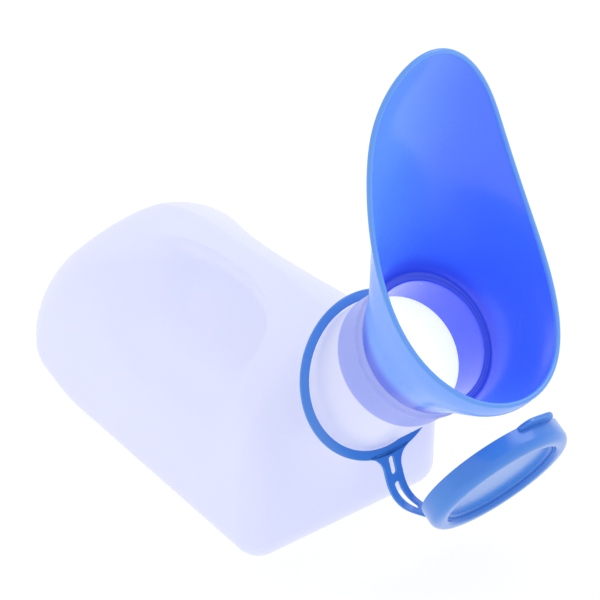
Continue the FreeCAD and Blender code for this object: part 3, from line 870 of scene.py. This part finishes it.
# ---------------------------------------------------------------- tether
@dataclass
class Tether:
    """Flat ring on the neck, a flared root, and a slotted strap that bends across to the cap."""

    bore: float = 31.5
    band: float = 4.1
    thick: float = 1.3
    station: float = -46.5
    lean: float = 69.0
    rigid: float = 9.0
    strap_half: float = 4.6
    slot_half: float = 1.15
    root_slot: tuple[float, float] = (0.5, 8.5)
    strap_slot: tuple[float, float] = (12.0, 28.0)
    meet: tuple[float, float, float] = (137.6, 9.3, 29.6)
    flare: float = 8.0

    def half_width(self, reach: np.ndarray) -> np.ndarray:
        """Half width of the strap at a distance from the ring's edge: a concave flare, then straight.

        Args:
            reach: distance past the ring's outer edge.

        Returns:
            Half widths.
        """
        ring = self.bore + self.band
        side = self.strap_half + self.flare
        ahead = math.sqrt((ring + self.flare) ** 2 - side ** 2)
        touch = ring * ahead / (ring + self.flare)
        place = np.clip(ring + reach, touch, ahead)
        return side - np.sqrt(np.maximum(self.flare ** 2 - (ahead - place) ** 2, 0))

    def build(self, finish: "bpy.types.Material") -> "list[bpy.types.Object]":
        """Make the ring and the two halves of the strap.

        Args:
            finish: material.

        Returns:
            The objects.
        """
        dip = math.radians(self.lean)
        centre = LIP + self.station * UP_THE_NECK
        down = np.array([math.cos(dip), 0.0, -math.sin(dip)])
        out = np.array([math.sin(dip), 0.0, math.cos(dip)])
        edge, half = 0.35, self.thick / 2
        rim_in, rim_out = self.bore + edge, self.bore + self.band - edge
        profile = (arc((rim_out, half - edge), edge, 90, 0, 4) + arc((rim_out, edge - half), edge, 0, -90, 4)
                   + arc((rim_in, edge - half), edge, 270, 180, 4)
                   + arc((rim_in, half - edge), edge, 180, 90, 4))
        points, _ = revolve(profile, 160)
        quads = lattice(len(profile), 160, loop_rows=True)
        place = centre + points[:, :1] * down + points[:, 1:2] * ACROSS + points[:, 2:] * out
        ring = make_object("ring", place, [q[::-1] for q in quads], finish)
        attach(ring, Body.RING.value)
        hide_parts("tether_ring")
        return [ring, *self.strap(centre, down, out, finish)]

    def strap(self, centre: np.ndarray, down: np.ndarray, out: np.ndarray,
              finish: "bpy.types.Material") -> "list[bpy.types.Object]":
        """Make the strap in two pieces that meet half way along the link.

        Args:
            centre: middle of the ring.
            down: direction from the middle to the root.
            out: the ring's outward normal; not used.
            finish: material.

        Returns:
            The objects.
        """
        edge_of_ring = self.bore + self.band
        start = centre + down * (edge_of_ring + self.rigid)
        end = np.array(self.meet)
        pull = 0.42 * np.linalg.norm(end - start)
        arrive = np.array([0.72, 0.62, -0.30])
        arrive /= np.linalg.norm(arrive)
        bends = np.linspace(0, 1, 41)[:, None]
        knots = [start, start + down * pull, end - arrive * pull, end]
        path = sum(c * (1 - bends) ** (3 - i) * bends ** i * k
                   for i, (c, k) in enumerate(zip((1, 3, 3, 1), knots)))
        legs = np.linalg.norm(np.diff(path, axis=0), axis=1)
        run = np.r_[0, np.cumsum(legs)] + self.rigid
        lead = np.arange(-2.4, self.rigid, 0.4)
        reach = np.r_[lead, np.arange(self.rigid, run[-1], 0.4), run[-1]]
        spine = np.stack([np.interp(reach, run, path[:, d]) for d in range(3)], -1)
        spine[reach < self.rigid] = centre + (edge_of_ring + reach[reach < self.rigid, None]) * down
        along = np.gradient(spine, axis=0)
        along /= np.linalg.norm(along, axis=1)[:, None]
        turn = ramp(reach, self.rigid, run[-1])[:, None]
        tangent = np.array([-0.312, 0.766, -0.563])
        across = ACROSS * (1 - 0.55 * turn) + tangent * 0.55 * turn
        across -= (across * along).sum(1)[:, None] * along
        across /= np.linalg.norm(across, axis=1)[:, None]
        normal = np.cross(along, across)
        width = self.half_width(reach)
        middle = (self.strap_slot[0] + self.strap_slot[1]) / 2
        made = []
        for name, keep in (("strap_root", reach <= middle + 0.2), ("strap_end", reach >= middle - 0.2)):
            made.append(self.ribbon(name, spine[keep], across[keep], normal[keep], width[keep], reach[keep],
                                    finish))
        root, tip = made
        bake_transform(root)
        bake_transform(tip)
        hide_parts("tether_link")
        return made

    def ribbon(self, name: str, spine: np.ndarray, across: np.ndarray, normal: np.ndarray,
               width: np.ndarray, reach: np.ndarray, finish: "bpy.types.Material") -> "bpy.types.Object":
        """A flat strip with slots down its middle.

        Args:
            name: object name.
            spine: middle of the strip at each step.
            across: width direction at each step.
            normal: thickness direction at each step.
            width: half width at each step.
            reach: distance from the ring at each step.
            finish: material.

        Returns:
            The object.
        """
        gap = np.zeros(len(reach))
        for low, high in (self.root_slot, self.strap_slot):
            near = np.minimum(reach - low, high - reach)
            short = self.slot_half - np.clip(near, 0, self.slot_half)
            round_end = np.sqrt(np.clip(self.slot_half ** 2 - short ** 2, 0, None))
            gap = np.where(near > 0, np.maximum(gap, round_end), gap)
        half, edge = self.thick / 2, 0.3
        points, quads = [], []
        for side in (1.0, -1.0):
            outer = width - edge
            inner = np.where(gap > 0, np.minimum(gap + edge, outer), 0.0)
            crown = np.where(gap > 0, edge, 0.0)
            section = [(inner - crown, half - crown), (inner, half + 0 * outer), (outer, half + 0 * outer),
                       (outer + edge, half - edge + 0 * outer), (outer + edge, edge - half + 0 * outer),
                       (outer, -half + 0 * outer), (inner, -half + 0 * outer), (inner - crown, crown - half)]
            base = sum(len(p) for p in points)
            for wide, tall in section:
                points.append(spine + (side * wide)[:, None] * across + np.asarray(tall)[:, None] * normal)
            steps, lanes = len(reach), len(section)
            for lane in range(lanes):
                after = (lane + 1) % lanes
                for s in range(steps - 1):
                    if lane == lanes - 1 and gap[s] == 0 and gap[s + 1] == 0:
                        continue
                    quad = [base + lane * steps + s, base + lane * steps + s + 1,
                            base + after * steps + s + 1, base + after * steps + s]
                    quads.append(quad if side > 0 else quad[::-1])
            for s in (0, steps - 1):
                loop = [base + lane * steps + s for lane in range(lanes)]
                quads.append(loop if (s == 0) == (side > 0) else loop[::-1])
        obj = make_object(name, np.concatenate(points), quads, finish, 35)
        shape = bmesh.new()
        shape.from_mesh(obj.data)
        bmesh.ops.remove_doubles(shape, verts=shape.verts, dist=1e-6)
        bmesh.ops.recalc_face_normals(shape, faces=shape.faces)
        shape.to_mesh(obj.data)
        shape.free()
        return obj


# ---------------------------------------------------------------- cap
@dataclass
class SnapCap:
    """Open snap cap with a dished top, a sealing plug and a thumb tab."""

    radius: float = 33.5
    height: float = 10.5
    wall: float = 1.8
    shoulder: float = 4.0
    dish: float = 26.4
    dish_depth: float = 3.6
    plug: float = 26.1
    plug_wall: float = 1.6
    plug_end: float = 4.2
    edge_middle: tuple[float, float, float] = (149.9, 30.4, 51.7)
    dip: float = 29.0
    tab_angle: float = 165.0
    tab_half: float = 10.0
    tab_reach: float = 4.5
    tab_thick: float = 1.8

    def profile(self) -> list[tuple[float, float]]:
        """Closed half section, from the middle of the top round to the middle of the underside."""
        r, h, s = self.radius, self.height, self.shoulder
        floor = h - self.dish_depth
        top = [(0.0, floor), (self.dish - 1.6, floor)]
        top += arc((self.dish - 1.6, floor + 1.4), 1.4, -90, -10, 5)
        top += arc((self.dish + 1.6, h - 1.4), 1.4, 170, 90, 5)
        side = arc((r - s, h - s), s, 90, 0, 8) + [(r, 0.5)] + arc((r - 0.5, 0.5), 0.5, 0, -90, 3)
        skirt = [(r - self.wall, 0.0), (r - self.wall, h - self.wall - 1.0),
                 (r - self.wall - 1.0, h - self.wall)]
        bore = self.plug - self.plug_wall
        plug = [(self.plug, h - self.wall), (self.plug, self.plug_end), (bore, self.plug_end),
                (bore, floor - self.wall), (0.0, floor - self.wall)]
        return top + side + skirt + plug

    def build(self, finish: "bpy.types.Material") -> "list[bpy.types.Object]":
        """Make the cap with its tab.

        Args:
            finish: material.

        Returns:
            The objects.
        """
        points, quads = revolve(self.profile(), 160)
        cap = make_object("cap_shell", self.to_frame(points), [q[::-1] for q in quads], finish, 50)
        shape = bmesh.new()
        shape.from_mesh(cap.data)
        bmesh.ops.remove_doubles(shape, verts=shape.verts, dist=1e-6)
        shape.to_mesh(cap.data)
        shape.free()
        tab = self.tab(finish)
        for obj in (cap, tab):
            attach(obj, Body.CAP.value)
        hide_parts("cap")
        return [cap, tab]

    def tab(self, finish: "bpy.types.Material") -> "bpy.types.Object":
        """Thumb tab: a plate that stands out from the open edge with its corners rounded.

        Args:
            finish: material.

        Returns:
            The object.
        """
        side = np.linspace(-1, 1, 25)
        lead = np.sqrt((self.radius - 0.6) ** 2 - (side * self.tab_half) ** 2)
        tip = self.radius + self.tab_reach * (1 - np.abs(side) ** 5)
        tip = np.maximum(tip, lead + 0.4)
        rows = []
        for edge, lift in ((lead, 0.0), (tip - 0.4, 0.0), (tip, 0.4), (tip, self.tab_thick - 0.4),
                           (tip - 0.4, self.tab_thick), (lead, self.tab_thick)):
            rows.append(np.stack([edge, side * self.tab_half, np.full(len(side), lift)], -1))
        local = np.concatenate(rows)
        turn = math.radians(self.tab_angle)
        spun = np.stack([local[:, 0] * math.cos(turn) - local[:, 1] * math.sin(turn),
                         local[:, 0] * math.sin(turn) + local[:, 1] * math.cos(turn), local[:, 2]], -1)
        count, quads = len(side), []
        for r in range(len(rows)):
            after = (r + 1) % len(rows)
            quads += [(r * count + c, r * count + c + 1, after * count + c + 1, after * count + c)
                      for c in range(count - 1)]
        quads.append([r * count for r in range(len(rows))])
        quads.append([r * count + count - 1 for r in range(len(rows))][::-1])
        return make_object("cap_tab", self.to_frame(spun), quads, finish, 35)

    def to_frame(self, local: np.ndarray) -> np.ndarray:
        """Turn the cap's own points into the frame.

        Args:
            local: points with Z towards the cap's top.

        Returns:
            Points in the frame.
        """
        dip = math.radians(self.dip)
        top = np.array([math.cos(dip), 0.0, -math.sin(dip)])
        first = np.array([-math.sin(dip), 0.0, -math.cos(dip)])
        return np.array(self.edge_middle) + local[:, :1] * first + local[:, 1:2] * ACROSS + local[:, 2:] * top


# ---------------------------------------------------------------- studio
@dataclass
class Studio:
    """Pale sweep, soft lights and the camera."""

    key: float = 2.2
    fill: float = 0.6
    sky: float = 0.8

    def build(self) -> None:
        """Make the floor, the lights, the sky and the camera."""
        self.floor()
        self.area("key", (0.25, 0.55, 0.95), 0.6, self.key)
        self.area("fill", (-0.7, -0.35, 0.6), 0.7, self.fill)
        sky = bpy.data.worlds.new("sky")
        sky.use_nodes = True
        sky.node_tree.nodes["Background"].inputs["Color"].default_value = (1.0, 1.0, 1.0, 1.0)
        sky.node_tree.nodes["Background"].inputs["Strength"].default_value = self.sky
        bpy.context.scene.world = sky
        bpy.context.scene.view_settings.view_transform = "Standard"
        self.camera()

    def floor(self) -> None:
        """A wide pale floor that gives back a little light of its own."""
        graph = Graph("paper")
        graph.surface.inputs["Base Color"].default_value = (0.2, 0.2, 0.2, 1.0)
        graph.surface.inputs["Roughness"].default_value = 1.0
        graph.surface.inputs["Specular IOR Level"].default_value = 0.0
        graph.surface.inputs["Emission Color"].default_value = (1.0, 1.0, 1.0, 1.0)
        graph.surface.inputs["Emission Strength"].default_value = 0.85
        corners = np.array([(-1, -1, 0), (1, -1, 0), (1, 1, 0), (-1, 1, 0)], float) * 6000
        floor = make_object("floor", corners - (0, 0, 0.3), [(0, 1, 2, 3)], graph.material)
        floor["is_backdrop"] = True

    @staticmethod
    def area(name: str, place: tuple[float, float, float], size: float, power: float) -> None:
        """A square soft light aimed at the object.

        Args:
            name: light name.
            place: where it stands, in metres.
            size: side of the square.
            power: watts.
        """
        data = bpy.data.lights.new(name, "AREA")
        data.size, data.energy = size, power
        lamp = bpy.data.objects.new(name, data)
        lamp.location = place
        lamp.rotation_euler = (Vector((0.05, 0, 0.1)) - lamp.location).to_track_quat("-Z", "Y").to_euler()
        bpy.context.scene.collection.objects.link(lamp)

    @staticmethod
    def camera() -> None:
        """A long lens from the front right, looking down at the object."""
        data = bpy.data.cameras.new("camera")
        data.lens, data.sensor_width = 120.0, 36.0
        camera = bpy.data.objects.new("camera", data)
        camera.location = (0.6298, -0.4289, 0.5529)
        camera.rotation_euler = tuple(math.radians(a) for a in (57.5, 0.0, 53.0))
        bpy.context.scene.collection.objects.link(camera)
        bpy.context.scene.camera = camera


def record_size(name: str, sizes: dict) -> None:
    """Keep the object's bounds beside the script's results.

    Args:
        name: which stage of the script this is.
        sizes: results so far.
    """
    sizes[name] = [[float(v) for v in corner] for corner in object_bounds()]


def main() -> None:
    """Build every sub-assembly in order."""
    logging.basicConfig(level=logging.INFO, format="%(name)s %(message)s")
    sizes: dict = {}
    record_size("cad", sizes)
    # the emission set on the next four finishes is painted light: they shine as if lit from behind, though
    # none is a lamp
    shell = NaturalShell("natural_shell", (0.66, 0.68, 0.86), roughness=0.4, scatter=0.3, painted_glow=0.14)
    # the inner face is painted lighter than the shell and shines by emission: painted light that brightens
    # the mouth
    inside = Polyethylene("natural_inside_painted_glow", (0.72, 0.74, 0.90), roughness=0.5, painted_glow=0.55)
    # the scoop colour is its painted lit near side; its darker colours are painted shade
    scoop = ScoopBlue("scoop_blue", (0.11, 0.30, 0.96), roughness=0.26, gloss=0.25, painted_glow=0.16)
    edge = Polyethylene("edge_blue", (0.12, 0.34, 0.92), roughness=0.25, gloss=0.2, painted_glow=0.05)
    strap = Polyethylene("tether_blue", (0.06, 0.26, 0.80), roughness=0.25, gloss=0.3)
    bottle = BottleShell(pitch=1.5).build(shell.material(), inside.material())
    LOG.info("bottle has %d faces", len(bottle.data.polygons))
    blue = scoop.material(), edge.material(), strap.material()
    for made in (ScoopAdapter().build(blue[0], blue[1]), Tether().build(blue[2]), SnapCap().build(blue[2])):
        for piece in made:
            LOG.info("%s has %d faces", piece.name, len(piece.data.polygons))
    Studio().build()
    record_size("looks", sizes)


if __name__ == "__main__":
    main()
